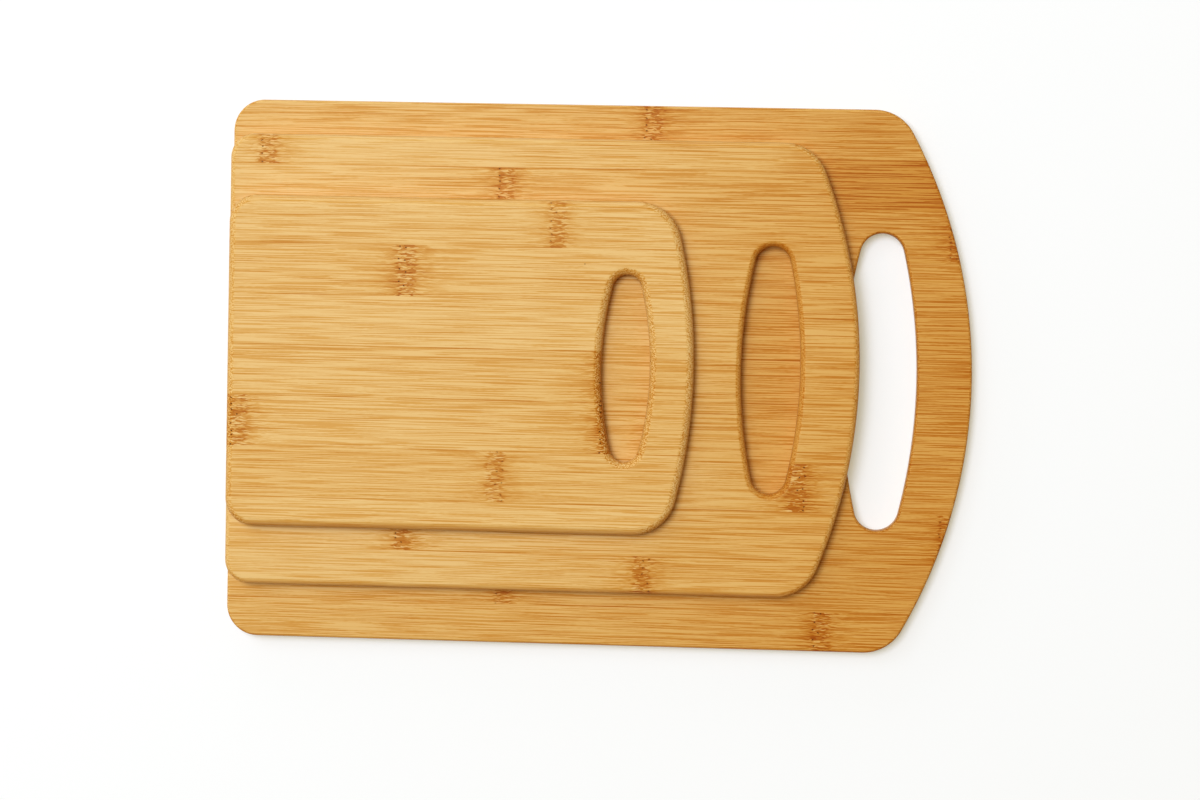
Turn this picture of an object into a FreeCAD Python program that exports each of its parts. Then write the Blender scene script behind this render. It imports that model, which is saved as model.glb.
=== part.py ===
import FreeCAD, Part
import math
import os

os.makedirs("parts", exist_ok=True)

# Set of three bamboo cutting boards, nested by size, lying flat on one another.
# X runs along the boards with the bowed end at +X, Y across them and Z up.
# The origin is the middle of the large board's underside. All lengths are in millimetres.

# The same in every board. A slot's round ends have this share of its width as their radius
BOARD_THICKNESS = 9.5
FACE_PLY = 3.2
SLAT_WIDTH = 24.0
SLOT_END_SHARE = 0.3

# Large board. SLOT_SHARE is the slot's length as a share of the board's width
LARGE_LENGTH = 330.0
LARGE_WIDTH = 240.0
LARGE_HEEL_RADIUS = 13.8
LARGE_SHOULDER_RADIUS = 19.5
LARGE_BOW_RADIUS = 228.0
LARGE_EASE = 0.7
LARGE_GRIP = 24.0
LARGE_SLOT_SHARE = 0.548
LARGE_SLOT_WIDTH = 33.0
LARGE_STRIPS = 11
LARGE_FIRST_STRIP = 22.25
LARGE_LAST_STRIP = 17.5

# Medium board, and where it lies on the large one
MEDIUM_LENGTH = 280.0
MEDIUM_WIDTH = 200.0
MEDIUM_HEEL_RADIUS = 10.5
MEDIUM_SHOULDER_RADIUS = 20.0
MEDIUM_BOW_RADIUS = 237.0
MEDIUM_EASE = 1.2
MEDIUM_GRIP = 26.0
MEDIUM_SLOT_SHARE = 0.545
MEDIUM_SLOT_WIDTH = 26.0
MEDIUM_STRIPS = 10
MEDIUM_FIRST_STRIP = 13.2
MEDIUM_LAST_STRIP = 16.8
MEDIUM_INSET = 0.4
MEDIUM_SHIFT = 4.4

# Small board, and where it lies on the other two
SMALL_LENGTH = 206.0
SMALL_WIDTH = 146.0
SMALL_HEEL_RADIUS = 12.0
SMALL_SHOULDER_RADIUS = 19.4
SMALL_BOW_RADIUS = 244.0
SMALL_EASE = 1.8
SMALL_GRIP = 19.3
SMALL_SLOT_SHARE = 0.562
SMALL_SLOT_WIDTH = 21.4
SMALL_STRIPS = 7
SMALL_FIRST_STRIP = 20.9
SMALL_LAST_STRIP = 13.1
SMALL_INSET = 1.9
SMALL_SHIFT = 4.1

# How far a cutting tool reaches past the wood it cuts
CUT_MARGIN = 5.0


def point(x, y):
    return FreeCAD.Vector(x, y, 0)


def on_circle(x, y, radius, angle):
    return point(x + radius * math.cos(angle), y + radius * math.sin(angle))


def arc(x, y, radius, start, end):
    middle = (start + end) / 2
    first = on_circle(x, y, radius, start)
    last = on_circle(x, y, radius, end)
    return Part.Arc(first, on_circle(x, y, radius, middle), last).toShape()


def line(start, end):
    return Part.LineSegment(start, end).toShape()


def outline(length, width, heel, shoulder, bow):
    # Straight end at x = 0, bowed end at x = length, middle line on y = 0
    half = width / 2
    quarter = math.pi / 2
    bow_x = length - bow
    shoulder_y = half - shoulder
    shoulder_x = bow_x + math.sqrt((bow - shoulder) ** 2 - shoulder_y ** 2)
    turn = math.atan2(shoulder_y, shoulder_x - bow_x)
    heel_y = half - heel
    return Part.Wire([
        arc(bow_x, 0, bow, -turn, turn),
        arc(shoulder_x, shoulder_y, shoulder, turn, quarter),
        line(point(shoulder_x, half), point(heel, half)),
        arc(heel, heel_y, heel, quarter, 2 * quarter),
        line(point(0, heel_y), point(0, -heel_y)),
        arc(heel, -heel_y, heel, 2 * quarter, 3 * quarter),
        line(point(heel, -half), point(shoulder_x, -half)),
        arc(shoulder_x, -shoulder_y, shoulder, 3 * quarter, 4 * quarter - turn),
    ])


def slot_outline(middle_x, length, width):
    # Two bulging sides that run smoothly into two small round ends
    end = SLOT_END_SHARE * width
    end_y = length / 2 - end
    side = (end_y ** 2 + (width / 2) ** 2 - end ** 2) / (width - 2 * end)
    side_x = side - width / 2
    turn = math.atan2(end_y, side_x)
    return Part.Wire([
        arc(middle_x - side_x, 0, side, -turn, turn),
        arc(middle_x, end_y, end, turn, math.pi - turn),
        arc(middle_x + side_x, 0, side, math.pi - turn, math.pi + turn),
        arc(middle_x, -end_y, end, math.pi + turn, 2 * math.pi - turn),
    ])


def lies_flat(edge):
    # True for an edge that runs round the top or the underside of a board
    box = edge.BoundBox
    return box.ZLength < BOARD_THICKNESS / 2


def blank(board):
    # The whole board as one solid: outline, grip slot and eased edges
    up = FreeCAD.Vector(0, 0, BOARD_THICKNESS)
    wood = Part.Face(board["outline"]).extrude(up)
    slot = Part.Face(board["slot"]).extrude(up)
    wood = wood.cut(slot)
    edges = [edge for edge in wood.Edges if lies_flat(edge)]
    return wood.makeChamfer(board["ease"], edges)


def strip_lines(board):
    # Y of every glue line on the face, from the +Y edge to the -Y edge
    half = board["width"] / 2
    inner = board["strips"] - 2
    pitch = (board["width"] - board["first"] - board["last"]) / inner
    lines = [half + CUT_MARGIN]
    for index in range(inner + 1):
        lines.append(half - board["first"] - index * pitch)
    lines.append(-half - CUT_MARGIN)
    return lines


def slat_lines(board):
    # X of every glue line in the core: equal steps to the slot's middle, then on to the bow
    middle = board["slot_middle"]
    ahead = board["length"] - middle
    count = round(middle / SLAT_WIDTH)
    count_ahead = round(ahead / SLAT_WIDTH)
    lines = [-CUT_MARGIN]
    for index in range(1, count + 1):
        lines.append(index * middle / count)
    for index in range(1, count_ahead):
        lines.append(middle + index * ahead / count_ahead)
    lines.append(board["length"] + CUT_MARGIN)
    return lines


def cutter(x_low, x_high, y_low, y_high, z_low, z_high):
    corner = FreeCAD.Vector(x_low, y_low, z_low)
    return Part.makeBox(x_high - x_low, y_high - y_low, z_high - z_low, corner)


def solids(shape):
    # One solid by itself, or several as a group
    if len(shape.Solids) == 1:
        return shape.Solids[0]
    return Part.makeCompound(shape.Solids)


def export(shape, board, name):
    placed = shape.copy()
    placed.translate(board["place"])
    placed.exportStep("parts/" + board["name"] + "_" + name + ".step")


def export_strips(board, wood, kind, z_low, z_high, lines):
    # Lengthwise strips side by side, each ending at the outline and at the slot
    x_low = -CUT_MARGIN
    x_high = board["length"] + CUT_MARGIN
    for index in range(board["strips"]):
        y_high = lines[index]
        y_low = lines[index + 1]
        strip = wood.common(cutter(x_low, x_high, y_low, y_high, z_low, z_high))
        export(solids(strip), board, kind + "_strip_{:02d}".format(index + 1))


def export_core(board, wood):
    # Crosswise slats between the two layers of strips
    y_low = -board["width"] / 2 - CUT_MARGIN
    y_high = -y_low
    z_low = FACE_PLY
    z_high = BOARD_THICKNESS - FACE_PLY
    lines = slat_lines(board)
    slats = []
    for x_low, x_high in zip(lines, lines[1:]):
        slat = wood.common(cutter(x_low, x_high, y_low, y_high, z_low, z_high))
        slats.extend(slat.Solids)
    export(Part.makeCompound(slats), board, "core_slats")


def build(board):
    wood = blank(board)
    top = BOARD_THICKNESS + CUT_MARGIN
    face_lines = strip_lines(board)
    # The back is glued up like the face, turned over
    back_lines = [-y for y in reversed(face_lines)]
    export_strips(board, wood, "face", BOARD_THICKNESS - FACE_PLY, top, face_lines)
    export_core(board, wood)
    export_strips(board, wood, "back", -CUT_MARGIN, FACE_PLY, back_lines)


def slot_middle(length, grip, slot_width):
    return length - grip - slot_width / 2


straight_end = -LARGE_LENGTH / 2
large_slot_middle = slot_middle(LARGE_LENGTH, LARGE_GRIP, LARGE_SLOT_WIDTH)
medium_slot_middle = slot_middle(MEDIUM_LENGTH, MEDIUM_GRIP, MEDIUM_SLOT_WIDTH)
small_slot_middle = slot_middle(SMALL_LENGTH, SMALL_GRIP, SMALL_SLOT_WIDTH)

build({
    "name": "large",
    "length": LARGE_LENGTH,
    "width": LARGE_WIDTH,
    "ease": LARGE_EASE,
    "strips": LARGE_STRIPS,
    "first": LARGE_FIRST_STRIP,
    "last": LARGE_LAST_STRIP,
    "outline": outline(LARGE_LENGTH, LARGE_WIDTH, LARGE_HEEL_RADIUS, LARGE_SHOULDER_RADIUS,
                       LARGE_BOW_RADIUS),
    "slot": slot_outline(large_slot_middle, LARGE_SLOT_SHARE * LARGE_WIDTH, LARGE_SLOT_WIDTH),
    "slot_middle": large_slot_middle,
    "place": FreeCAD.Vector(straight_end, 0, 0),
})

build({
    "name": "medium",
    "length": MEDIUM_LENGTH,
    "width": MEDIUM_WIDTH,
    "ease": MEDIUM_EASE,
    "strips": MEDIUM_STRIPS,
    "first": MEDIUM_FIRST_STRIP,
    "last": MEDIUM_LAST_STRIP,
    "outline": outline(MEDIUM_LENGTH, MEDIUM_WIDTH, MEDIUM_HEEL_RADIUS, MEDIUM_SHOULDER_RADIUS,
                       MEDIUM_BOW_RADIUS),
    "slot": slot_outline(medium_slot_middle, MEDIUM_SLOT_SHARE * MEDIUM_WIDTH, MEDIUM_SLOT_WIDTH),
    "slot_middle": medium_slot_middle,
    "place": FreeCAD.Vector(straight_end + MEDIUM_INSET, MEDIUM_SHIFT, BOARD_THICKNESS),
})

build({
    "name": "small",
    "length": SMALL_LENGTH,
    "width": SMALL_WIDTH,
    "ease": SMALL_EASE,
    "strips": SMALL_STRIPS,
    "first": SMALL_FIRST_STRIP,
    "last": SMALL_LAST_STRIP,
    "outline": outline(SMALL_LENGTH, SMALL_WIDTH, SMALL_HEEL_RADIUS, SMALL_SHOULDER_RADIUS,
                       SMALL_BOW_RADIUS),
    "slot": slot_outline(small_slot_middle, SMALL_SLOT_SHARE * SMALL_WIDTH, SMALL_SLOT_WIDTH),
    "slot_middle": small_slot_middle,
    "place": FreeCAD.Vector(straight_end + SMALL_INSET, SMALL_SHIFT, 2 * BOARD_THICKNESS),
})
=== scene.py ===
# %% [markdown]
# # Three nested bamboo cutting boards
#
# The object is a set of three flat bamboo boards that lie on one another, straight ends together.
# Each board is glued from lengthwise strips over a crosswise core, then sawn to its outline, routed
# for a grip slot and eased along every edge. The lesson follows the maker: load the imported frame, set
# the camera, saw the blanks, cut them into strips, give the bamboo its grain, then light the scene.

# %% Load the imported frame
import math
import random

import bmesh
import bpy
from mathutils import Matrix, Vector


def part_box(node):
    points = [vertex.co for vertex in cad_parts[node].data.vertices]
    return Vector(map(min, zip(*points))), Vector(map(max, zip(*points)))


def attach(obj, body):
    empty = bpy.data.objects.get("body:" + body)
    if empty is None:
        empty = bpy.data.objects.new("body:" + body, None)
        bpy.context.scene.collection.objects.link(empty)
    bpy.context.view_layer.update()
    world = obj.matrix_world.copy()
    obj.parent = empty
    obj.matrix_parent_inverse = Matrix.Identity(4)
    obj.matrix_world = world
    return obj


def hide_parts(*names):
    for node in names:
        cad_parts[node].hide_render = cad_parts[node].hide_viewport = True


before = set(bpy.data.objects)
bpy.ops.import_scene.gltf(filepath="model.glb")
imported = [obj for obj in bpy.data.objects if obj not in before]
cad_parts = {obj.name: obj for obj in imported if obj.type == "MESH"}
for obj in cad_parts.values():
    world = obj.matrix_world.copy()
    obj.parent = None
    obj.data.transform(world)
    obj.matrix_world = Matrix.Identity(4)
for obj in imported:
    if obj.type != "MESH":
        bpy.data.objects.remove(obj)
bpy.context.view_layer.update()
MM = 0.001

# %% [markdown]
# ## The camera
#
# The photograph looks almost straight down on the boards, turned a little and tilted a little so
# that the bowed ends are slightly nearer. A camera's turn can be made with Euler angles, but three
# small turns in a known order are easier to read as one matrix product: first the turn in the
# picture, then the tilt to the side, then the tilt towards the lower edge.

# %% Camera
PHOTO_WIDTH = 1200
CAMERA_DISTANCE = 1.2
FOCAL_PIXELS = 2680.6
SENSOR_WIDTH = 36.0
PICTURE_TURN = -0.0209
SIDE_TILT = -0.0631
FORWARD_TILT = 0.0383
AIM_POINT = Vector((0.53, -10.94, 0.0)) * MM


def make_camera():
    data = bpy.data.cameras.new("photo_camera")
    data.sensor_fit = "HORIZONTAL"
    data.sensor_width = SENSOR_WIDTH
    data.lens = FOCAL_PIXELS / PHOTO_WIDTH * SENSOR_WIDTH
    camera = bpy.data.objects.new("photo_camera", data)
    bpy.context.scene.collection.objects.link(camera)
    turn = Matrix.Rotation(PICTURE_TURN, 3, "Z")
    side = Matrix.Rotation(SIDE_TILT, 3, "Y")
    forward = Matrix.Rotation(FORWARD_TILT, 3, "X")
    to_world = (forward @ side @ turn).transposed()
    place = AIM_POINT + to_world @ Vector((0.0, 0.0, CAMERA_DISTANCE))
    camera.matrix_world = Matrix.Translation(place) @ to_world.to_4x4()
    bpy.context.scene.camera = camera
    return camera


camera = make_camera()
print("lens %.1f mm, camera at" % camera.data.lens, [round(v, 3) for v in camera.location])

# %% [markdown]
# ## What each board is
#
# The overall size and place of each board are read from the imported frame, so the look can't drift
# from the solids. The radii, the round-over and the slot are the maker's own numbers, in
# millimetres, and the slats are counted up to the slot's middle and beyond it. A board's tone is how
# much brown dye its bamboo holds at the straight end and at the bowed end. The rise towards the bowed
# end is partly the bamboo's own colour and partly painted shade, darker away from the lamps at the
# upper left. The few strips that stand out as darker towards the bow are named with what they hold
# more. Grit says how speckled a board's cut edges are, and lip how much browner the lip of its slot
# is. Bamboo has a knuckle about every 200 to 300 mm of stem, so most strips show one or none: each is
# given as strip number, distance from the straight end, the way its brush of fibres points, and how
# dark it is.

# %% Board sizes
BOARDS = {
    "large": {
        "heel": 13.8, "shoulder": 19.5, "bow": 228.0, "round": 1.2, "grit": 0.5, "lip": 0.2,
        "grip": 24.0, "slot_share": 0.548, "slot_width": 33.0,
        "slats": (12, 2),
        "tone": (0.12, 0.62), "darker": {2: 0.35},
        "knuckles": [(1, 183.5, 1, 0.9), (2, 232, 1, 0.6), (3, 318.5, 1, 0.7), (4, 60, 1, 0.7),
                     (5, 150, -1, 0.8), (6, 203, 1, 0.7), (7, 95, 1, 0.8), (8, 30, -1, 0.7),
                     (9, 317, 1, 0.6), (10, 120.5, 1, 0.8), (11, 262.5, 1, 1.0)],
    },
    "medium": {
        "heel": 10.5, "shoulder": 20.0, "bow": 237.0, "round": 2.7, "grit": 0.3, "lip": 0.35,
        "grip": 26.0, "slot_share": 0.545, "slot_width": 26.0,
        "slats": (10, 2),
        "tone": (-0.1, 0.35), "darker": {},
        "knuckles": [(1, 13.5, 1, 0.9), (2, 119.5, 1, 0.9), (3, 70, 1, 0.7), (4, 160, -1, 0.8),
                     (5, 40, 1, 0.7), (6, 120, 1, 0.8), (7, 195, -1, 0.7), (8, 257.5, -1, 1.1),
                     (9, 76, 1, 1.0), (10, 190, -1, 0.8)],
    },
    "small": {
        "heel": 12.0, "shoulder": 19.4, "bow": 244.0, "round": 3.5, "grit": 0.8, "lip": 0.12,
        "grip": 19.3, "slot_share": 0.562, "slot_width": 21.4,
        "slats": (7, 1),
        "tone": (0.0, 0.0), "darker": {4: 0.15, 5: 0.15},
        "knuckles": [(1, 142, 1, 0.6), (2, 75.5, 1, 1.0), (4, 165, 1, 1.0), (5, 2.0, 1, 1.0),
                     (5, 165, 1, 1.0), (6, 123.5, -1, 0.6)],
    },
}
SLOT_END_SHARE = 0.3
FACE_PLY = 3.2


def board_nodes(name, kind):
    return sorted(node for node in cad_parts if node.startswith(name + "_" + kind))


def board_box(name):
    boxes = [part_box(node) for node in board_nodes(name, "")]
    low = Vector([min(box[0][axis] for box in boxes) for axis in range(3)])
    high = Vector([max(box[1][axis] for box in boxes) for axis in range(3)])
    return low, high


for name, board in BOARDS.items():
    board["low"], board["high"] = board_box(name)
    size = (board["high"] - board["low"]) / MM
    print(name, "board %.1f x %.1f x %.1f mm" % tuple(size))

# %% [markdown]
# ## Outlines as curves
#
# A board's edge is a chain of arcs: the wide bow, two shoulders, two heels, with straight runs
# between them. A mesh could be cut from a rectangle, but a curve keeps the edge smooth and lets a
# profile follow it later. The outline runs anticlockwise and the slot clockwise, so the wood is
# always on the left of the path.

# %% Outline curves
ARC_STEP = 1.0
MOST_TURN = math.radians(4)


def arc(x, y, radius, start, end):
    steps = math.ceil(max(abs(end - start) * radius / ARC_STEP, abs(end - start) / MOST_TURN))
    angles = [start + (end - start) * step / steps for step in range(steps + 1)]
    return [(x + radius * math.cos(angle), y + radius * math.sin(angle)) for angle in angles]


def edge_points(board, length, width):
    half = width / 2
    quarter = math.pi / 2
    bow_x = length - board["bow"]
    shoulder_y = half - board["shoulder"]
    shoulder_x = bow_x + math.sqrt((board["bow"] - board["shoulder"]) ** 2 - shoulder_y ** 2)
    turn = math.atan2(shoulder_y, shoulder_x - bow_x)
    heel = board["heel"]
    heel_y = half - heel
    points = arc(bow_x, 0, board["bow"], -turn, turn)
    points += arc(shoulder_x, shoulder_y, board["shoulder"], turn, quarter)[1:]
    points += arc(heel, heel_y, heel, quarter, 2 * quarter)
    points += arc(heel, -heel_y, heel, 2 * quarter, 3 * quarter)
    points += arc(shoulder_x, -shoulder_y, board["shoulder"], 3 * quarter, 4 * quarter - turn)[:-1]
    return points


def slot_points(board, length, width):
    slot_width = board["slot_width"]
    middle = length - board["grip"] - slot_width / 2
    end = SLOT_END_SHARE * slot_width
    end_y = board["slot_share"] * width / 2 - end
    side = (end_y ** 2 + (slot_width / 2) ** 2 - end ** 2) / (slot_width - 2 * end)
    side_x = side - slot_width / 2
    turn = math.atan2(end_y, side_x)
    points = arc(middle - side_x, 0, side, -turn, turn)
    points += arc(middle, end_y, end, turn, math.pi - turn)[1:]
    points += arc(middle + side_x, 0, side, math.pi - turn, math.pi + turn)[1:]
    points += arc(middle, -end_y, end, math.pi + turn, 2 * math.pi - turn)[1:-1]
    return points[::-1]


def outline_curve(name, board):
    low, high = board["low"], board["high"]
    length, width = (high.x - low.x) / MM, (high.y - low.y) / MM
    middle_y = (low.y + high.y) / 2
    curve = bpy.data.curves.new(name + "_outline", "CURVE")
    curve.dimensions = "3D"
    for points in (edge_points(board, length, width), slot_points(board, length, width)):
        spline = curve.splines.new("POLY")
        spline.points.add(len(points) - 1)
        spline.use_cyclic_u = True
        for spot, (x, y) in zip(spline.points, points):
            spot.co = (low.x + x * MM, middle_y + y * MM, 0.0, 1.0)
    path = bpy.data.objects.new(name + "_outline", curve)
    bpy.context.scene.collection.objects.link(path)
    return path


for name, board in BOARDS.items():
    board["path"] = outline_curve(name, board)
    print(name, "outline points:", [len(spline.points) for spline in board["path"].data.splines])

# %% [markdown]
# ## A small helper for node trees
#
# Geometry trees and shader trees are both made of nodes and links. This helper adds a node, sets its
# options, and either links or fills each input, so that a tree reads like a list of steps.

# %% Node helper


class Tree:
    def __init__(self, tree):
        self.tree = tree

    def add(self, kind, inputs=None, **options):
        node = self.tree.nodes.new(kind)
        for option, value in options.items():
            setattr(node, option, value)
        for key, value in (inputs or {}).items():
            if isinstance(value, bpy.types.NodeSocket):
                self.tree.links.new(value, node.inputs[key])
            elif isinstance(value, list):
                for item in value:
                    self.tree.links.new(item, node.inputs[key])
            else:
                node.inputs[key].default_value = value
        return node

    def math(self, operation, *values):
        inputs = dict(enumerate(values))
        return self.add("ShaderNodeMath", inputs, operation=operation).outputs[0]

    def vector(self, operation, *values):
        inputs = dict(enumerate(values))
        return self.add("ShaderNodeVectorMath", inputs, operation=operation).outputs[0]

    def group_input(self, sockets):
        for socket_name, kind, default in sockets:
            socket = self.tree.interface.new_socket(socket_name, in_out="INPUT", socket_type=kind)
            if default is not None:
                socket.default_value = default
        return self.tree.nodes.new("NodeGroupInput").outputs

    def group_output(self, sockets):
        for socket_name, kind, _ in sockets:
            self.tree.interface.new_socket(socket_name, in_out="OUTPUT", socket_type=kind)
        node = self.tree.nodes.new("NodeGroupOutput")
        for socket_name, _, value in sockets:
            self.tree.links.new(value, node.inputs[socket_name])


def geometry_tree(name):
    return Tree(bpy.data.node_groups.new(name, "GeometryNodeTree"))


def run_tree(tree, name, mesh, values):
    """The mesh that the tree makes from mesh with these input values."""
    host = bpy.data.objects.new(name, mesh)
    bpy.context.scene.collection.objects.link(host)
    modifier = host.modifiers.new(name, "NODES")
    modifier.node_group = tree
    for item in tree.interface.items_tree:
        if item.item_type == "SOCKET" and item.in_out == "INPUT" and item.name in values:
            modifier[item.identifier] = values[item.name]
    view = bpy.context.evaluated_depsgraph_get()
    made = bpy.data.meshes.new_from_object(host.evaluated_get(view), depsgraph=view,
                                           preserve_all_data_layers=True)
    bpy.data.objects.remove(host)
    return made


print("node helper ready")

# %% [markdown]
# ## The routed blank
#
# Before it is split into strips, a board is one closed shape: flat faces and an edge rounded over
# above and below. A Bevel modifier could round the edge, but sweeping a rounded profile along the
# outline gives an even band on the tight heels as well as on the wide bow. The faces are filled
# between the same path moved inwards by the round-over's radius, and everything is welded.

# %% Routed blank tree
ROUND_STEPS = 10
WELD = 0.00001


def half_round(tree, radius, thickness, side):
    # A quarter arc of the edge profile, drawn with x outwards and y across the thickness
    bent = tree.add("GeometryNodeCurveArc", {"Resolution": ROUND_STEPS + 1, "Radius": radius,
                                             "Start Angle": 0.0 if side > 0 else -math.pi / 2,
                                             "Sweep Angle": math.pi / 2}, mode="RADIUS")
    depth = tree.math("SUBTRACT", tree.math("MULTIPLY", thickness, 0.5), radius)
    height = tree.math("MULTIPLY", depth, float(side))
    inwards = tree.math("MULTIPLY", radius, -1.0)
    place = tree.add("ShaderNodeCombineXYZ", {0: inwards, 1: height}).outputs[0]
    moved = tree.add("GeometryNodeTransform", {"Geometry": bent.outputs["Curve"],
                                               "Translation": place})
    return moved.outputs[0], tree.add("ShaderNodeCombineXYZ", {1: height}).outputs[0]


def blank_tree():
    tree = geometry_tree("Routed blank")
    given = tree.group_input([
        ("Geometry", "NodeSocketGeometry", None), ("Outline", "NodeSocketObject", None),
        ("Round-over", "NodeSocketFloat", 0.002), ("Thickness", "NodeSocketFloat", 0.0095),
        ("Underside Height", "NodeSocketFloat", 0.0),
    ])
    radius, thickness = given["Round-over"], given["Thickness"]
    source = tree.add("GeometryNodeObjectInfo", {"Object": given["Outline"]},
                      transform_space="RELATIVE")
    path = tree.add("GeometryNodeSetCurveNormal", {"Curve": source.outputs["Geometry"]},
                    mode="Z_UP").outputs[0]
    upper, upper_end = half_round(tree, radius, thickness, 1)
    lower, lower_end = half_round(tree, radius, thickness, -1)
    wall = tree.add("GeometryNodeCurvePrimitiveLine", {"Start": upper_end, "End": lower_end})
    pieces = tree.add("GeometryNodeJoinGeometry", {0: [upper, wall.outputs[0], lower]}).outputs[0]
    wire = tree.add("GeometryNodeCurveToMesh", {"Curve": pieces}).outputs[0]
    wire = tree.add("GeometryNodeMergeByDistance", {"Geometry": wire, "Distance": WELD}).outputs[0]
    profile = tree.add("GeometryNodeMeshToCurve", {"Mesh": wire}).outputs[0]
    band = tree.add("GeometryNodeCurveToMesh", {"Curve": path, "Profile Curve": profile}).outputs[0]
    outwards = tree.add("GeometryNodeInputNormal").outputs[0]
    inset = tree.vector("SCALE", outwards)
    tree.tree.links.new(tree.math("MULTIPLY", radius, -1.0), inset.node.inputs["Scale"])
    inner = tree.add("GeometryNodeSetPosition", {"Geometry": path, "Offset": inset}).outputs[0]
    flat = tree.add("GeometryNodeFillCurve", {"Curve": inner}, mode="NGONS").outputs[0]
    half = tree.math("MULTIPLY", thickness, 0.5)
    rise = tree.add("ShaderNodeCombineXYZ", {2: half}).outputs[0]
    drop = tree.vector("MULTIPLY", rise, (0.0, 0.0, -1.0))
    top = tree.add("GeometryNodeTransform", {"Geometry": flat, "Translation": rise}).outputs[0]
    under = tree.add("GeometryNodeTransform", {"Geometry": flat, "Translation": drop}).outputs[0]
    under = tree.add("GeometryNodeFlipFaces", {"Mesh": under}).outputs[0]
    whole = tree.add("GeometryNodeJoinGeometry", {0: [band, top, under]}).outputs[0]
    whole = tree.add("GeometryNodeMergeByDistance", {"Geometry": whole, "Distance": WELD}).outputs[0]
    lift = tree.math("ADD", half, given["Underside Height"])
    place = tree.add("ShaderNodeCombineXYZ", {2: lift}).outputs[0]
    whole = tree.add("GeometryNodeTransform", {"Geometry": whole, "Translation": place}).outputs[0]
    tree.group_output([("Geometry", "NodeSocketGeometry", whole)])
    return tree.tree


ROUTED_BLANK = blank_tree()
for name, board in BOARDS.items():
    empty = bpy.data.meshes.new(name + "_blank")
    board["blank"] = run_tree(ROUTED_BLANK, name + "_blank", empty, {
        "Outline": board["path"], "Round-over": board["round"] * MM,
        "Thickness": board["high"].z - board["low"].z, "Underside Height": board["low"].z})
    heights = [vertex.co.z for vertex in board["blank"].vertices]
    open_edges = {key: 0 for key in board["blank"].edge_keys}
    for face in board["blank"].polygons:
        for key in face.edge_keys:
            open_edges[key] += 1
    print(name, "blank faces", len(board["blank"].polygons), "z", min(heights), max(heights),
          "edges not shared by two faces", sum(count != 2 for count in open_edges.values()))

# %% [markdown]
# ## Sawing the blanks into strips
#
# On the real boards the strips are glued first and the outline is cut through all of them, so every
# strip end lies exactly on the common edge. The same order is kept here: a slab as wide as one strip
# is laid over the routed blank and only what both share is kept. Each strip also carries what its
# finish needs to know: its seed, its tone and how far that rises, how far along the board a spot
# lies, how far from the glue lines and knuckles, and which corners belong to the slot's lip. The
# distances are straight-line measures, so a few corners describe them exactly; anything curved, such
# as the tone's slow rise, is worked out from them in the finish.

# %% Sawn strip tree
FLAT_ENOUGH = 0.9995
SHARP_ANGLE = 0.6
FAR = 1.0


def shade_rounds(tree, mesh):
    # Only the rounded and bowed parts are shaded smooth; sawn and planed faces stay flat
    facing = tree.vector("ABSOLUTE", tree.add("GeometryNodeInputNormal").outputs[0])
    parts = tree.add("ShaderNodeSeparateXYZ", {0: facing}).outputs
    most = tree.math("MAXIMUM", tree.math("MAXIMUM", parts[0], parts[1]), parts[2])
    rounded = tree.math("LESS_THAN", most, FLAT_ENOUGH)
    mesh = tree.add("GeometryNodeSetShadeSmooth", {"Geometry": mesh,
                                                   "Shade Smooth": rounded}).outputs[0]
    angle = tree.add("GeometryNodeInputMeshEdgeAngle").outputs["Unsigned Angle"]
    gentle = tree.math("LESS_THAN", angle, SHARP_ANGLE)
    return tree.add("GeometryNodeSetShadeSmooth", {"Geometry": mesh, "Shade Smooth": gentle},
                    domain="EDGE").outputs[0]


def store(tree, mesh, name, value):
    inputs = {"Geometry": mesh, "Name": name, "Value": value}
    return tree.add("GeometryNodeStoreNamedAttribute", inputs,
                    data_type="FLOAT", domain="POINT").outputs[0]


def finish_cut(tree, mesh, bamboo):
    mesh = shade_rounds(tree, mesh)
    mesh = tree.add("GeometryNodeRealizeInstances", {"Geometry": mesh}).outputs[0]
    return tree.add("GeometryNodeSetMaterial", {"Geometry": mesh, "Material": bamboo}).outputs[0]


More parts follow.
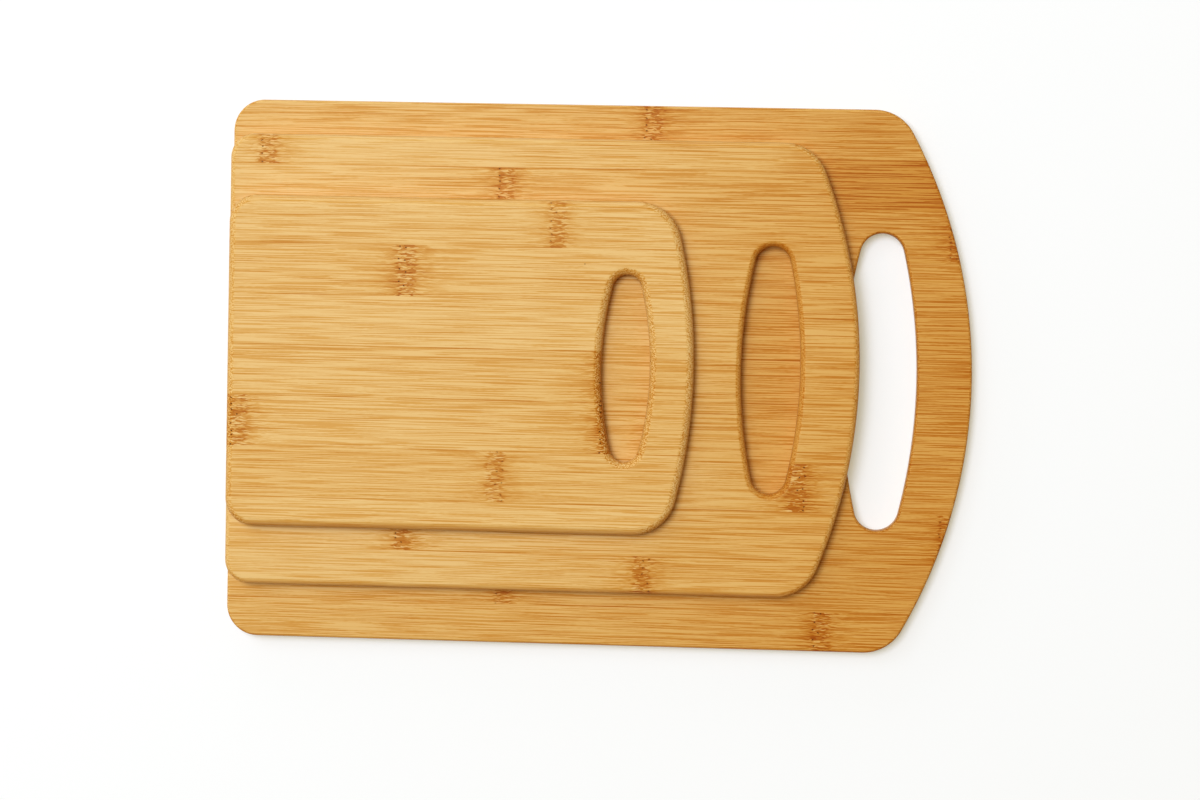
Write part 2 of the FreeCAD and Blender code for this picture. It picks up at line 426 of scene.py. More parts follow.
def sawn_strip_tree():
    tree = geometry_tree("Sawn strip")
    given = tree.group_input([
        ("Geometry", "NodeSocketGeometry", None),
        ("Low Corner", "NodeSocketVector", None), ("High Corner", "NodeSocketVector", None),
        ("Seed", "NodeSocketFloat", 0.0), ("Tone", "NodeSocketFloat", 0.0),
        ("Rise", "NodeSocketFloat", 0.0), ("Run Start", "NodeSocketFloat", 0.0),
        ("Run Length", "NodeSocketFloat", 1.0),
        ("Glue Low", "NodeSocketFloat", -FAR), ("Glue High", "NodeSocketFloat", FAR),
        ("Knuckle A", "NodeSocketFloat", FAR), ("Way A", "NodeSocketFloat", 1.0),
        ("Strength A", "NodeSocketFloat", 0.0), ("Knuckle B", "NodeSocketFloat", FAR),
        ("Way B", "NodeSocketFloat", 1.0), ("Strength B", "NodeSocketFloat", 0.0),
        ("Slot Middle", "NodeSocketVector", None), ("Slot Reach", "NodeSocketVector", None),
        ("Bamboo", "NodeSocketMaterial", None),
    ])
    low, high = given["Low Corner"], given["High Corner"]
    middle = tree.vector("MULTIPLY", tree.vector("ADD", low, high), (0.5, 0.5, 0.5))
    slab = tree.add("GeometryNodeMeshCube", {"Size": tree.vector("SUBTRACT", high, low)}).outputs[0]
    slab = tree.add("GeometryNodeTransform", {"Geometry": slab, "Translation": middle}).outputs[0]
    strip = tree.add("GeometryNodeMeshBoolean", {1: [given["Geometry"], slab]},
                     operation="INTERSECT", solver="MANIFOLD").outputs[0]
    spot = tree.add("GeometryNodeInputPosition").outputs[0]
    along, across, _ = tree.add("ShaderNodeSeparateXYZ", {0: spot}).outputs
    strip = store(tree, strip, "strip_seed", given["Seed"])
    strip = store(tree, strip, "strip_tone", given["Tone"])
    strip = store(tree, strip, "strip_rise", given["Rise"])
    run = tree.math("SUBTRACT", along, given["Run Start"])
    strip = store(tree, strip, "strip_run", tree.math("DIVIDE", run, given["Run Length"]))
    strip = store(tree, strip, "glue_low", tree.math("SUBTRACT", across, given["Glue Low"]))
    strip = store(tree, strip, "glue_high", tree.math("SUBTRACT", given["Glue High"], across))
    for knuckle in ("A", "B"):
        reach = tree.math("SUBTRACT", along, given["Knuckle " + knuckle])
        reach = tree.math("MULTIPLY", reach, given["Way " + knuckle])
        strip = store(tree, strip, "knuckle_" + knuckle.lower(), reach)
        strip = store(tree, strip, "strength_" + knuckle.lower(), given["Strength " + knuckle])
    aside = tree.vector("ABSOLUTE", tree.vector("SUBTRACT", spot, given["Slot Middle"]))
    room = tree.vector("SUBTRACT", given["Slot Reach"], aside)
    beside = tree.add("ShaderNodeSeparateXYZ", {0: room}).outputs
    inside = tree.math("GREATER_THAN", tree.math("MINIMUM", beside[0], beside[1]), 0.0)
    strip = store(tree, strip, "slot_lip", inside)
    strip = finish_cut(tree, strip, given["Bamboo"])
    tree.group_output([("Geometry", "NodeSocketGeometry", strip)])
    return tree.tree


SAWN_STRIP = sawn_strip_tree()
print("sawn strip inputs:", len(SAWN_STRIP.interface.items_tree) - 1)

# %% [markdown]
# ## Core slats
#
# Between the two faces lies a core of short slats laid crosswise, which keeps the board flat. They
# repeat at an even pitch, so one slab is placed on every point of a line; a line runs from the
# straight end to the slot and a second one from the slot to the bow. A hair of room between the
# slabs leaves each slat its own closed shape after the outline is cut through them.

# %% Core slat tree
GLUE_ROOM = 0.00004
SLAT_SEED_STEP = 1.7


def core_tree():
    tree = geometry_tree("Core slats")
    given = tree.group_input([
        ("Geometry", "NodeSocketGeometry", None),
        ("Start", "NodeSocketVector", None), ("Width", "NodeSocketFloat", 0.3),
        ("Thickness", "NodeSocketFloat", 0.003),
        ("Body Pitch", "NodeSocketFloat", 0.02), ("Body Count", "NodeSocketInt", 12),
        ("Grip Pitch", "NodeSocketFloat", 0.02), ("Grip Count", "NodeSocketInt", 2),
        ("Bamboo", "NodeSocketMaterial", None),
    ])
    start, rows = given["Start"], []
    for part in ("Body", "Grip"):
        pitch, count = given[part + " Pitch"], given[part + " Count"]
        step = tree.add("ShaderNodeCombineXYZ", {0: pitch}).outputs[0]
        first = tree.vector("ADD", start, tree.vector("MULTIPLY", step, (0.5, 0.5, 0.5)))
        line = tree.add("GeometryNodeMeshLine", {"Count": count, "Start Location": first,
                                                 "Offset": step}, mode="OFFSET").outputs[0]
        length = tree.math("SUBTRACT", pitch, GLUE_ROOM)
        size = tree.add("ShaderNodeCombineXYZ", {0: length, 1: given["Width"],
                                                 2: given["Thickness"]}).outputs[0]
        slab = tree.add("GeometryNodeMeshCube", {"Size": size}).outputs[0]
        rows.append(tree.add("GeometryNodeInstanceOnPoints", {"Points": line,
                                                              "Instance": slab}).outputs[0])
        span = tree.vector("SCALE", step)
        tree.tree.links.new(count, span.node.inputs["Scale"])
        start = tree.vector("ADD", start, span)
    slabs = tree.add("GeometryNodeJoinGeometry", {0: rows}).outputs[0]
    slabs = tree.add("GeometryNodeRealizeInstances", {"Geometry": slabs}).outputs[0]
    slats = tree.add("GeometryNodeMeshBoolean", {1: [given["Geometry"], slabs]},
                     operation="INTERSECT", solver="MANIFOLD").outputs[0]
    slat = tree.add("GeometryNodeInputMeshIsland").outputs["Island Index"]
    slats = store(tree, slats, "strip_seed", tree.math("MULTIPLY", slat, SLAT_SEED_STEP))
    slats = finish_cut(tree, slats, given["Bamboo"])
    tree.group_output([("Geometry", "NodeSocketGeometry", slats)])
    return tree.tree


CORE_SLATS = core_tree()
print("core slat inputs:", len(CORE_SLATS.interface.items_tree) - 1)

# %% [markdown]
# ## Bamboo fibres
#
# A bamboo stem is pale wood threaded with long brown fibre bundles. Sawn along, the bundles show as
# streaks; sawn across, the same bundles show as dots. A flat streak picture would have to be fitted
# face by face, so the fibres are solid instead: noise stretched up to eighty times along the stem,
# cut by whatever surface the piece has. All places are in millimetres, with x along the stem. Each
# layer is a weight and a stretch, and each range says where a mask begins and where it is full.

# %% Fibre node group
FIBRE_LAYERS = [(0.2, (0.03, 1.5, 1.5)), (1.7, (0.035, 2.9, 2.9)), (0.25, (0.4, 2.7, 2.7))]
THREAD_STRETCH = (0.01, 2.0, 2.0)
BAND_STRETCH = (0.01, 0.28, 0.28)
STREAK_RANGE = (0.46, 0.7)
THREAD_RANGE = (0.62, 0.71)
BAND_RANGE = (0.3, 0.7)
SEED_SHIFT = (37.1, 91.7, 53.3)
NOISE_MIDDLE = 0.5


def shader_tree(name):
    return Tree(bpy.data.node_groups.new(name, "ShaderNodeTree"))


def noise(tree, place, stretch, detail=2.0, roughness=0.5):
    where = tree.vector("MULTIPLY", place, stretch)
    return tree.add("ShaderNodeTexNoise", {"Vector": where, "Scale": 1.0, "Detail": detail,
                                           "Roughness": roughness}).outputs[0]


def wobble(tree, place, stretch, detail=2.0):
    return tree.math("SUBTRACT", noise(tree, place, stretch, detail), NOISE_MIDDLE)


def ramp(tree, value, low, high):
    return tree.add("ShaderNodeMapRange", {0: value, 1: low, 2: high, 3: 0.0, 4: 1.0},
                    interpolation_type="SMOOTHSTEP").outputs[0]


def fade(tree, value, low, high):
    return tree.math("SUBTRACT", 1.0, ramp(tree, value, low, high))


def blend(tree, amount, first, second):
    node = tree.add("ShaderNodeMix", data_type="RGBA")
    for key, value in ((0, amount), (6, first), (7, second)):
        if isinstance(value, bpy.types.NodeSocket):
            tree.tree.links.new(value, node.inputs[key])
        else:
            node.inputs[key].default_value = value
    return node.outputs[2]


def fibre_group():
    tree = shader_tree("Bamboo fibres")
    given = tree.group_input([("Place", "NodeSocketVector", None), ("Seed", "NodeSocketFloat", 0.0)])
    place = tree.vector("ADD", given["Place"], tree.vector("MULTIPLY", given["Seed"], SEED_SHIFT))
    bundle = NOISE_MIDDLE
    for weight, stretch in FIBRE_LAYERS:
        layer = wobble(tree, place, stretch, 0.0)
        bundle = tree.math("ADD", tree.math("MULTIPLY", layer, weight), bundle)
    thread = noise(tree, place, THREAD_STRETCH, 0.0)
    band = noise(tree, place, BAND_STRETCH)
    tree.group_output([
        ("Streak", "NodeSocketFloat", ramp(tree, bundle, *STREAK_RANGE)),
        ("Thread", "NodeSocketFloat", ramp(tree, thread, *THREAD_RANGE)),
        ("Band", "NodeSocketFloat", ramp(tree, band, *BAND_RANGE)),
    ])
    return tree.tree


FIBRES = fibre_group()
print("fibre group nodes:", len(FIBRES.nodes))

# %% [markdown]
# ## Knuckles
#
# Where the stem had a joint the fibres swerve, darken and break into short dashes, with a row of
# near-black pores along one side and a brush of longer strokes on the other. The group measures
# everything from the knuckle's distance that the strip carries, so no picture is needed.

# %% Knuckle node group
# The ragged line along which the fibres break, in millimetres
WANDER_STRETCH, WANDER = (0.0, 0.4, 0.4), 3.5
FRAY_STRETCH, FRAY = (0.0, 1.3, 1.3), 5.0
SWERVE_STRETCH, SWERVE = (0.28, 0.35, 0.35), 1.2
SWAY_STRETCH = (0.15, 0.3, 0.3)
# The dashes inside the knuckle, and the longer strokes that lead up to it and trail away
DASH_STRETCH, DASH_RANGE, DASH_DYE = (0.28, 1.6, 1.6), (0.48, 0.54), 1.15
STROKE_STRETCH, STROKE_RANGE, STROKE_DYE = (0.14, 1.6, 1.6), (0.48, 0.55), 0.6
BREAK_DETAIL, BREAK_ROUGHNESS = 1.0, 0.6
FIRST_EDGE, LAST_EDGE, CLEARED = (-1.0, 0.6), (6.5, 8.5), 0.28
LEAD_LENGTH, TRAIL_START, TRAIL_LENGTH = 7.0, 7.5, 8.0
SHADE_MIDDLE, SHADE_WIDTH, SHADE_DYE = 2.0, 7.0, 0.2
# The pores: most stand in one row, some in a second one
PORES_PER_MM, PORE_ROW = 0.36, 0.6
SECOND_ROW, SECOND_ROW_CHANCE = 2.6, 0.75
PORE_EDGE, HALO_EDGE, HALO_DYE = (0.15, 0.45), (0.3, 1.2), 0.3


def bell(tree, value, centre, width):
    apart = tree.math("DIVIDE", tree.math("SUBTRACT", value, centre), width)
    return tree.math("EXPONENT", tree.math("MULTIPLY", tree.math("MULTIPLY", apart, apart), -1.0))


def broken_fibres(tree, place, stretch, span):
    return ramp(tree, noise(tree, place, stretch, BREAK_DETAIL, BREAK_ROUGHNESS), *span)


def pore_gap(tree, place, ragged):
    across = tree.add("ShaderNodeSeparateXYZ", {0: place}).outputs[1]
    spacing = tree.add("ShaderNodeTexVoronoi", {"W": tree.math("MULTIPLY", across, PORES_PER_MM),
                                                "Scale": 1.0}, voronoi_dimensions="1D")
    beside = tree.math("DIVIDE", spacing.outputs["Distance"], PORES_PER_MM)
    chance = tree.add("ShaderNodeSeparateColor", {0: spacing.outputs["Color"]}).outputs[0]
    row = tree.math("MULTIPLY", tree.math("GREATER_THAN", chance, SECOND_ROW_CHANCE), SECOND_ROW)
    ahead = tree.math("SUBTRACT", ragged, tree.math("ADD", row, PORE_ROW))
    return tree.math("SQRT", tree.math("ADD", tree.math("MULTIPLY", beside, beside),
                                       tree.math("MULTIPLY", ahead, ahead)))


def knuckle_group():
    tree = shader_tree("Bamboo knuckle")
    given = tree.group_input([("Place", "NodeSocketVector", None), ("Reach", "NodeSocketFloat", FAR),
                              ("Strength", "NodeSocketFloat", 0.0)])
    place = given["Place"]
    reach = tree.math("MULTIPLY", given["Reach"], 1.0 / MM)
    wander = tree.math("MULTIPLY", wobble(tree, place, WANDER_STRETCH), WANDER)
    ragged = tree.math("ADD", reach, wander)
    fray = tree.math("MULTIPLY", wobble(tree, place, FRAY_STRETCH, 0.0), FRAY)
    frayed = tree.math("ADD", ragged, fray)
    swerve = tree.math("MULTIPLY", wobble(tree, place, SWERVE_STRETCH), SWERVE)
    bent = tree.vector("ADD", place, tree.add("ShaderNodeCombineXYZ", {1: swerve}).outputs[0])
    dashes = broken_fibres(tree, bent, DASH_STRETCH, DASH_RANGE)
    strokes = broken_fibres(tree, bent, STROKE_STRETCH, STROKE_RANGE)
    inside = tree.math("MULTIPLY", ramp(tree, frayed, *FIRST_EDGE), fade(tree, frayed, *LAST_EDGE))
    before = tree.math("MINIMUM", frayed, 0.0)
    past = tree.math("MINIMUM", tree.math("SUBTRACT", TRAIL_START, frayed), 0.0)
    lead = tree.math("EXPONENT", tree.math("DIVIDE", before, LEAD_LENGTH))
    trail = tree.math("EXPONENT", tree.math("DIVIDE", past, TRAIL_LENGTH))
    brush = tree.math("MULTIPLY", tree.math("MULTIPLY", lead, trail), strokes)
    gap = pore_gap(tree, place, ragged)
    brown = tree.math("MULTIPLY", brush, STROKE_DYE)
    for mask, share in ((tree.math("MULTIPLY", inside, dashes), DASH_DYE),
                        (bell(tree, ragged, SHADE_MIDDLE, SHADE_WIDTH), SHADE_DYE),
                        (inside, -CLEARED), (fade(tree, gap, *HALO_EDGE), HALO_DYE)):
        brown = tree.math("ADD", brown, tree.math("MULTIPLY", mask, share))
    pore = fade(tree, gap, *PORE_EDGE)
    near = bell(tree, reach, SHADE_MIDDLE, SHADE_WIDTH)
    sway = tree.math("MULTIPLY", wobble(tree, place, SWAY_STRETCH), near)
    tree.group_output([
        ("Brown", "NodeSocketFloat", tree.math("MULTIPLY", brown, given["Strength"])),
        ("Pores", "NodeSocketFloat", tree.math("MULTIPLY", pore, given["Strength"])),
        ("Sway", "NodeSocketFloat", tree.math("MULTIPLY", sway, given["Strength"])),
    ])
    return tree.tree


KNUCKLE = knuckle_group()
print("knuckle group nodes:", len(KNUCKLE.nodes))

# %% [markdown]
# ## The bamboo finish
#
# The boards are sanded and oiled, so colour, sheen and relief all follow the fibres. Two browns could
# be mixed, but oiled wood darkens more like dyed glass: its colour is the pale wood times the dye
# raised to an amount, so everything that darkens a spot is simply added up. Tone, fibres, knuckles
# and glue lines each add their share. Where the surface turns along the stem or over the slot's lip
# it shows cut fibre ends as speckles. The near long edges get painted shade: they are made browner,
# standing in for the warm light bounced onto that shadow side. The group hands back a colour, a
# roughness, a gloss for the rounded edges and a height.

# %% Bamboo surface group
SWAY_DEPTH = 3.0
# How far a surface turns along the stem, up and to the near side, as parts of its normal
END_RANGE, FLAT_RANGE, PAINTED_SHADE_FACING_RANGE = (0.04, 0.25), (0.97, 0.997), (0.12, 0.5)
GLOSS_BELOW, GLOSS_ABOVE = (0.4, 0.65), (0.8, 0.98)
EDGE_GLOSS, CUT_DULLING = 0.3, 0.25
DOT_STRETCH, DOT_RANGE, DOT_MIDDLE = (1.6, 2.1, 2.1), (0.42, 0.58), 0.4
GLUE_EDGE, GLUE_STRETCH, GLUE_RANGE = (0.08, 0.36), (0.03, 0.1, 0.1), (0.3, 0.6)
PINHOLES_PER_MM, PINHOLE_EDGE, PINHOLE_DARK = 0.03, (0.006, 0.012), 0.5
STREAK_DYE, STREAK_DYE_PER_TONE = 0.56, 0.7
# The near long edges' share is painted shade, a browner colour on the side away from the lamps
BAND_DYE, THREAD_DYE, KNUCKLE_DYE, NEAR_PAINTED_SHADE, GLUE_DYE = 0.05, 0.4, 1.3, 0.5, 0.8
ROUGHNESS, STREAK_ROUGHNESS, END_ROUGHNESS = 0.28, 0.06, 0.15
STREAK_DEPTH, DOT_DEPTH, KNUCKLE_DEPTH = 0.4, 0.7, 0.5


def srgb(red, green, blue):
    def linear(value):
        value /= 255
        return value / 12.92 if value <= 0.04045 else ((value + 0.055) / 1.055) ** 2.4
    return (linear(red), linear(green), linear(blue), 1.0)


def dyed(tree, pale, dye, amount):
    pale = tree.add("ShaderNodeSeparateColor", {0: pale}).outputs
    dye = tree.add("ShaderNodeSeparateColor", {0: dye}).outputs
    parts = {}
    for part in range(3):
        parts[part] = tree.math("MULTIPLY", pale[part], tree.math("POWER", dye[part], amount))
    return tree.add("ShaderNodeCombineColor", parts).outputs[0]


def add_shares(tree, value, shares):
    for mask, share in shares:
        value = tree.math("ADD", value, tree.math("MULTIPLY", mask, share))
    return value


def placed_group(tree, group, links):
    node = tree.add("ShaderNodeGroup", node_tree=group)
    for key, value in links.items():
        tree.tree.links.new(value, node.inputs[key])
    return node


def surface_group():
    tree = shader_tree("Bamboo surface")
    colour, number = "NodeSocketColor", "NodeSocketFloat"
    given = tree.group_input([
        ("Pale Wood", colour, srgb(232, 193, 126)), ("Dye", colour, (0.74, 0.487, 0.19, 1.0)),
        ("Pore Brown", colour, srgb(70, 30, 4)),
        ("Place", "NodeSocketVector", None), ("Seed", number, 0.0), ("Tone", number, 0.2),
        ("End Facing", number, 0.0), ("Up Facing", number, 1.0), ("Lip", number, 0.0),
        ("Grit", number, 0.5), ("Lip Dye", number, 0.1), ("Near Facing", number, 0.0),
        ("Glue Distance", number, FAR),
        ("Knuckle A", number, FAR), ("Strength A", number, 0.0),
        ("Knuckle B", number, FAR), ("Strength B", number, 0.0),
    ])
    place, up = given["Place"], given["Up Facing"]
    first, second = (placed_group(tree, KNUCKLE, {
        "Place": place, "Reach": given["Knuckle " + letter],
        "Strength": given["Strength " + letter]}).outputs for letter in "AB")
    sway = tree.math("ADD", first["Sway"], second["Sway"])
    brown = tree.math("MINIMUM", tree.math("ADD", first["Brown"], second["Brown"]), 1.0)
    pores = tree.math("MINIMUM", tree.math("ADD", first["Pores"], second["Pores"]), 1.0)
    bend = tree.add("ShaderNodeCombineXYZ", {1: tree.math("MULTIPLY", sway, SWAY_DEPTH)}).outputs[0]
    fibres = placed_group(tree, FIBRES, {"Place": tree.vector("ADD", place, bend),
                                         "Seed": given["Seed"]}).outputs
    streak = fibres["Streak"]
    ends = ramp(tree, given["End Facing"], *END_RANGE)
    lip = tree.math("MULTIPLY", fade(tree, up, *FLAT_RANGE), given["Lip"])
    cut = tree.math("MAXIMUM", ends, lip)
    dots = ramp(tree, noise(tree, place, DOT_STRETCH, 0.0), *DOT_RANGE)
    speckle = tree.math("MULTIPLY", tree.math("SUBTRACT", dots, DOT_MIDDLE), cut)
    gloss = tree.math("SUBTRACT", ramp(tree, up, *GLOSS_BELOW), ramp(tree, up, *GLOSS_ABOVE))
    polish = tree.math("SUBTRACT", EDGE_GLOSS, tree.math("MULTIPLY", cut, CUT_DULLING))
    gloss = tree.math("MULTIPLY", gloss, polish)
    # Painted shade: the near long edges, which face away from the lamps, are made browner
    painted_near_shade = ramp(tree, given["Near Facing"], *PAINTED_SHADE_FACING_RANGE)
    glue = fade(tree, tree.math("MULTIPLY", given["Glue Distance"], 1.0 / MM), *GLUE_EDGE)
    glue = tree.math("MULTIPLY", glue, ramp(tree, noise(tree, place, GLUE_STRETCH), *GLUE_RANGE))
    rich = tree.math("ADD", tree.math("MULTIPLY", given["Tone"], STREAK_DYE_PER_TONE), STREAK_DYE)
    amount = add_shares(tree, given["Tone"], (
        (fibres["Band"], BAND_DYE), (streak, rich), (fibres["Thread"], THREAD_DYE),
        (brown, KNUCKLE_DYE), (speckle, given["Grit"]), (lip, given["Lip Dye"]),
        (painted_near_shade, NEAR_PAINTED_SHADE), (glue, GLUE_DYE)))
    wood = dyed(tree, given["Pale Wood"], given["Dye"], tree.math("MAXIMUM", amount, 0.0))
    spots = tree.vector("MULTIPLY", place, (PINHOLES_PER_MM,) * 3)
    spots = tree.add("ShaderNodeTexVoronoi", {"Vector": spots, "Scale": 1.0}).outputs["Distance"]
    pinhole = fade(tree, spots, *PINHOLE_EDGE)
    dark = tree.math("MAXIMUM", pores, tree.math("MULTIPLY", pinhole, PINHOLE_DARK))
    wood = blend(tree, dark, wood, given["Pore Brown"])
    rough = add_shares(tree, ROUGHNESS, ((streak, STREAK_ROUGHNESS), (ends, END_ROUGHNESS)))
    height = add_shares(tree, 0.0, ((streak, -STREAK_DEPTH), (speckle, -DOT_DEPTH), (dark, -1.0),
                                    (glue, -1.0), (brown, -KNUCKLE_DEPTH)))
    tree.group_output([("Colour", colour, wood), ("Roughness", number, rough),
                       ("Gloss", number, gloss), ("Height", number, height)])
    return tree.tree


SURFACE = surface_group()
print("surface group nodes:", len(SURFACE.nodes))

# %% [markdown]
# ## One bamboo for each board
#
# The three boards are the same bamboo from different stems. Each material reads the strip's own
# numbers, works in object coordinates, and gives the finish its board's grit and lip. A strip's tone
# rises with the square of the way along the board: slowly at the straight end, faster at the bowed
# one. That rise is partly the bamboo's own colour and partly painted shade, darker away from the
# lamps at the upper left. The core's stems run across the board, so its place is turned a quarter
# before the fibres are laid.

# %% Bamboo materials
RELIEF = 0.00004
RELIEF_STRENGTH = 0.6
SHEEN = 0.04
EDGE_ROUGHNESS = 0.16


def strip_value(tree, name):
    return tree.add("ShaderNodeAttribute", attribute_name=name).outputs["Fac"]


def bamboo_material(name, board, core):
    material = bpy.data.materials.new(name)
    material.use_nodes = True
    tree = Tree(material.node_tree)
    shader = material.node_tree.nodes["Principled BSDF"]
    where = tree.add("ShaderNodeTexCoord").outputs
    place = tree.vector("MULTIPLY", where["Object"], (1.0 / MM,) * 3)
    facing = tree.add("ShaderNodeSeparateXYZ", {0: tree.vector("ABSOLUTE", where["Normal"])}).outputs
    inputs = {"Seed": strip_value(tree, "strip_seed"), "Up Facing": facing[2]}
    if core:
        x, y, z = tree.add("ShaderNodeSeparateXYZ", {0: place}).outputs
        place = tree.add("ShaderNodeCombineXYZ", {0: y, 1: x, 2: z}).outputs[0]
        inputs["End Facing"] = facing[1]
    else:
        inputs["End Facing"] = facing[0]
        # Near Facing drives the painted shade on the near long edges
        sideways = tree.add("ShaderNodeSeparateXYZ", {0: where["Normal"]}).outputs[1]
        inputs["Near Facing"] = tree.math("MULTIPLY", sideways, -1.0)
        run = strip_value(tree, "strip_run")
        # The tone's rise towards the bowed end is partly painted shade, darker away from the lamps
        rise = tree.math("MULTIPLY", strip_value(tree, "strip_rise"), tree.math("MULTIPLY", run, run))
        inputs["Tone"] = tree.math("ADD", strip_value(tree, "strip_tone"), rise)
        inputs["Lip"] = strip_value(tree, "slot_lip")
        inputs["Glue Distance"] = tree.math("MINIMUM", strip_value(tree, "glue_low"),
                                            strip_value(tree, "glue_high"))
        for knuckle in ("A", "B"):
            inputs["Knuckle " + knuckle] = strip_value(tree, "knuckle_" + knuckle.lower())
            inputs["Strength " + knuckle] = strip_value(tree, "strength_" + knuckle.lower())
    inputs["Place"] = place
    finish = placed_group(tree, SURFACE, inputs)
    finish.inputs["Grit"].default_value = board["grit"]
    finish.inputs["Lip Dye"].default_value = board["lip"]
    relief = tree.add("ShaderNodeBump", {"Strength": RELIEF_STRENGTH, "Distance": RELIEF,
                                         "Height": finish.outputs["Height"]})
    tree.tree.links.new(finish.outputs["Colour"], shader.inputs["Base Color"])
    tree.tree.links.new(finish.outputs["Roughness"], shader.inputs["Roughness"])
    tree.tree.links.new(finish.outputs["Gloss"], shader.inputs["Coat Weight"])
    tree.tree.links.new(relief.outputs[0], shader.inputs["Normal"])
    shader.inputs["Specular IOR Level"].default_value = SHEEN
    shader.inputs["Coat Roughness"].default_value = EDGE_ROUGHNESS
    return material


for name, board in BOARDS.items():
    board["face_bamboo"] = bamboo_material(name + "_face_bamboo", board, False)
    board["core_bamboo"] = bamboo_material(name + "_core_bamboo", board, True)
print("materials:", [material.name for material in bpy.data.materials if "bamboo" in material.name])

# %% [markdown]
# ## Cutting every strip
#
# Each face strip takes the place of its solid and rides on its board. Its width comes from that
# solid's own box, so the glue lines lie where the solids meet. The slab is a little larger than the
# board wherever the strip ends at an edge, so the outline alone makes that edge. No two strips are
# quite the same brown, so each strays a little from its board's tone, by a draw with its own seed.

# %% Face strips
OVERLAP = 0.002
TOUCH = 0.00001
SEEDS_PER_BOARD = 20.0
TONE_SPREAD = 0.06


def strip_mesh(board, node, top, seed, tones, knuckles):
    low, high = Vector(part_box(node)[0]), Vector(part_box(node)[1])
    at_low, at_high = low.y < board["low"].y + TOUCH, high.y > board["high"].y - TOUCH
    values = {"Seed": seed, "Tone": tones[0], "Rise": tones[1] - tones[0],
              "Run Start": board["low"].x, "Run Length": board["high"].x - board["low"].x,
              "Glue Low": low.y - (FAR if at_low else 0.0), "Bamboo": board["face_bamboo"],
              "Glue High": high.y + (FAR if at_high else 0.0)}
    for letter, (_, from_end, way, strength) in zip("AB", knuckles):
        values.update({"Knuckle " + letter: board["low"].x + from_end * MM,
                       "Way " + letter: float(way), "Strength " + letter: strength})
    middle = (board["low"] + board["high"]) / 2
    middle.x = board["high"].x - (board["grip"] + board["slot_width"] / 2) * MM
    half_slot = board["slot_share"] * (board["high"].y - board["low"].y) / 2
    lip = board["round"] * MM + TOUCH
    values.update({"Slot Middle": middle,
                   "Slot Reach": Vector((board["slot_width"] / 2 * MM + lip, half_slot + lip, 0.0))})
    low.x, high.x = low.x - OVERLAP, high.x + OVERLAP
    low.y, high.y = low.y - OVERLAP * at_low, high.y + OVERLAP * at_high
    low.z, high.z = low.z - OVERLAP * (not top), high.z + OVERLAP * top
    values.update({"Low Corner": low, "High Corner": high})
    return run_tree(SAWN_STRIP, node + "_saw", board["blank"], values)


def strip_tones(board, number, seed):
    # The end tone's rise over the start is partly painted shade, darker away from the lamps
    start, end = board["tone"]
    stray = random.Random(seed).uniform(-TONE_SPREAD, TONE_SPREAD)
    return start + stray, end + stray + board["darker"].get(number, 0.0)


def settle(name, mesh, board_name, nodes):
    piece = bpy.data.objects.new(name, mesh)
    bpy.context.scene.collection.objects.link(piece)
    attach(piece, board_name + "_board")
    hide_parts(*nodes)


for order, (name, board) in enumerate(BOARDS.items()):
    for number, node in enumerate(board_nodes(name, "face_strip"), 1):
        knuckles = [knuckle for knuckle in board["knuckles"] if knuckle[0] == number]
        seed = order * SEEDS_PER_BOARD + number
        tones = strip_tones(board, number, seed)
        mesh = strip_mesh(board, node, True, seed, tones, knuckles)
        settle("%s_face_bamboo_%02d" % (name, number), mesh, name, [node])
    print(name, "face strips:", number, "last one has", len(mesh.polygons), "faces")

# %% [markdown]
# ## Back panels
#
# The backs are sawn the same way as the faces. Nobody looks at them strip by strip, so the strips of
# one board are joined into one panel, and each strip's tone is drawn from a fixed seed instead of
# being chosen.

# %% Back panels
BACK_TONE = 0.4
BACK_SEED = 100.0

for order, (name, board) in enumerate(BOARDS.items()):
    panel = bmesh.new()
    nodes = board_nodes(name, "back_strip")
    for number, node in enumerate(nodes, 1):
        seed = BACK_SEED + order * SEEDS_PER_BOARD + number
        tone = random.Random(seed).uniform(0.0, BACK_TONE)
        mesh = strip_mesh(board, node, False, seed, (tone, tone), [])
        panel.from_mesh(mesh)
    back = bpy.data.meshes.new(name + "_back_bamboo")
    panel.to_mesh(back)
    panel.free()
    back.materials.append(board["face_bamboo"])
    settle(name + "_back_bamboo", back, name, nodes)
    print(name, "back panel:", len(back.polygons), "faces,", len(back.attributes), "attributes")

# %% [markdown]
# ## Cores
#
# The core shows only as a band between the two faces, round the outside and in the slot. It is cut
# from the same blank, so its slats end on the same edge as the strips above and below. The outline
# curves have done their work by then and are removed.

# %% Cores
for name, board in BOARDS.items():
    low, high = board["low"], board["high"]
    body_count, grip_count = board["slats"]
    slot_middle = high.x - (board["grip"] + board["slot_width"] / 2) * MM
    core = run_tree(CORE_SLATS, name + "_core", board["blank"], {
        "Start": Vector((low.x, (low.y + high.y) / 2, (low.z + high.z) / 2)),
        "Width": high.y - low.y + OVERLAP, "Thickness": high.z - low.z - 2 * FACE_PLY * MM,
        "Body Pitch": (slot_middle - low.x) / body_count, "Body Count": body_count,
        "Grip Pitch": (high.x - slot_middle) / grip_count, "Grip Count": grip_count,
        "Bamboo": board["core_bamboo"]})
    settle(name + "_core_bamboo", core, name, board_nodes(name, "core_slats"))
    bpy.data.objects.remove(board["path"])
    print(name, "core:", len(core.polygons), "faces")

# %% [markdown]
# ## Floor and light
#
# The set lies on a white table under a large soft lamp almost overhead and a weaker one further to
# the upper left, both slightly cool, so that only the right and lower edges throw a narrow shadow.
# Two low lamps brighten the far and the left edges, and a weak, warm, even fill keeps the gaps brown.
# The table keeps the shadow and is lifted towards white only for what the camera sees, directly or
# in a reflection. Each lamp is given as its place, its size and its power.

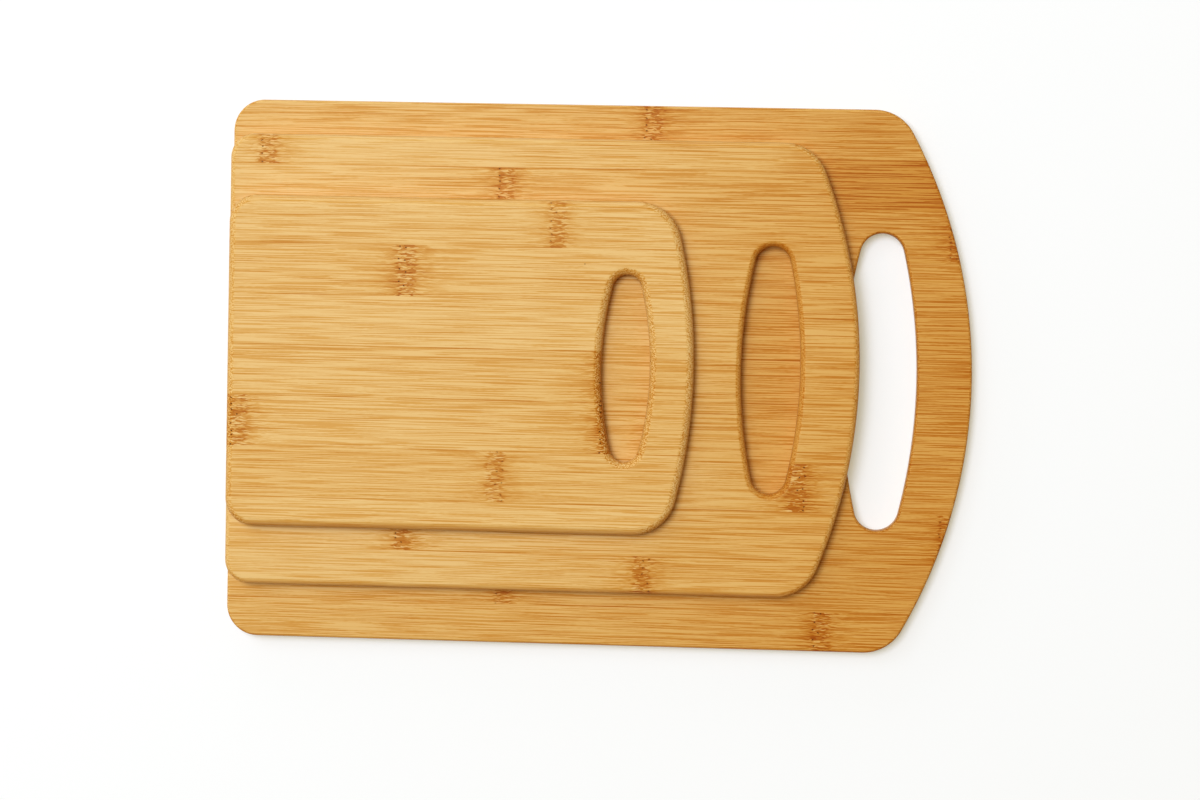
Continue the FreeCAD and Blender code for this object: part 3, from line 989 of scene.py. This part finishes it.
# %% Floor and light
FLOOR_SIZE = 8.0
FLOOR_DROP = 0.0001
FLOOR_LIFT = 0.32
TABLE_COLOUR = (0.67, 0.69, 0.81, 1.0)
TABLE_LIFT_COLOUR = (1.0, 0.98, 0.7, 1.0)
TOP_LIGHT = (Vector((-0.78, 0.68, 3.9)), (1.65, 1.65), 125.4)
SIDE_LIGHT = (Vector((-2.5, 2.25, 3.6)), (2.25, 2.25), 35.6)
BACK_RIM = (Vector((-0.7, 2.1, 0.6)), (2.0, 0.5), 5.5)
LEFT_RIM = (Vector((-2.1, 0.5, 0.6)), (2.0, 0.5), 3.3)
WHITE = (1.0, 1.0, 1.0, 1.0)
LAMP_COLOUR = (0.885, 0.947, 1.0)
FILL_LEVEL = 0.25
FILL_COLOUR = (1.0, 0.74, 0.38, 1.0)


def seen_ray(tree):
    ray = tree.add("ShaderNodeLightPath").outputs
    shown = tree.math("MAXIMUM", ray["Is Glossy Ray"], ray["Is Transmission Ray"])
    return tree.math("MAXIMUM", ray["Is Camera Ray"], shown)


def make_floor():
    half = FLOOR_SIZE / 2
    mesh = bpy.data.meshes.new("white_table")
    mesh.from_pydata([(-half, -half, -FLOOR_DROP), (half, -half, -FLOOR_DROP),
                      (half, half, -FLOOR_DROP), (-half, half, -FLOOR_DROP)], [], [(0, 1, 2, 3)])
    material = bpy.data.materials.new("white_table")
    material.use_nodes = True
    tree = Tree(material.node_tree)
    shader = material.node_tree.nodes["Principled BSDF"]
    shader.inputs["Base Color"].default_value = TABLE_COLOUR
    shader.inputs["Roughness"].default_value = 1.0
    shader.inputs["Specular IOR Level"].default_value = 0.0
    shader.inputs["Emission Color"].default_value = TABLE_LIFT_COLOUR
    lift = tree.math("MULTIPLY", seen_ray(tree), FLOOR_LIFT)
    tree.tree.links.new(lift, shader.inputs["Emission Strength"])
    mesh.materials.append(material)
    table = bpy.data.objects.new("white_table", mesh)
    bpy.context.scene.collection.objects.link(table)


def make_light(name, place, size, power):
    data = bpy.data.lights.new(name, "AREA")
    data.shape = "RECTANGLE"
    data.size, data.size_y = size
    data.energy = power
    data.color = LAMP_COLOUR
    light = bpy.data.objects.new(name, data)
    bpy.context.scene.collection.objects.link(light)
    light.location = place
    light.rotation_euler = place.to_track_quat("Z", "Y").to_euler()


def make_world():
    world = bpy.data.worlds.new("studio")
    bpy.context.scene.world = world
    world.use_nodes = True
    tree = Tree(world.node_tree)
    back = world.node_tree.nodes["Background"]
    seen = seen_ray(tree)
    level = tree.add("ShaderNodeMapRange", {0: seen, 1: 0.0, 2: 1.0, 3: FILL_LEVEL, 4: 1.0})
    tree.tree.links.new(blend(tree, seen, FILL_COLOUR, WHITE), back.inputs["Color"])
    tree.tree.links.new(level.outputs[0], back.inputs["Strength"])


make_floor()
make_light("top_box", *TOP_LIGHT)
make_light("side_box", *SIDE_LIGHT)
make_light("back_rim_box", *BACK_RIM)
make_light("left_rim_box", *LEFT_RIM)
make_world()
bpy.context.scene.view_settings.view_transform = "Standard"
print("stage ready")
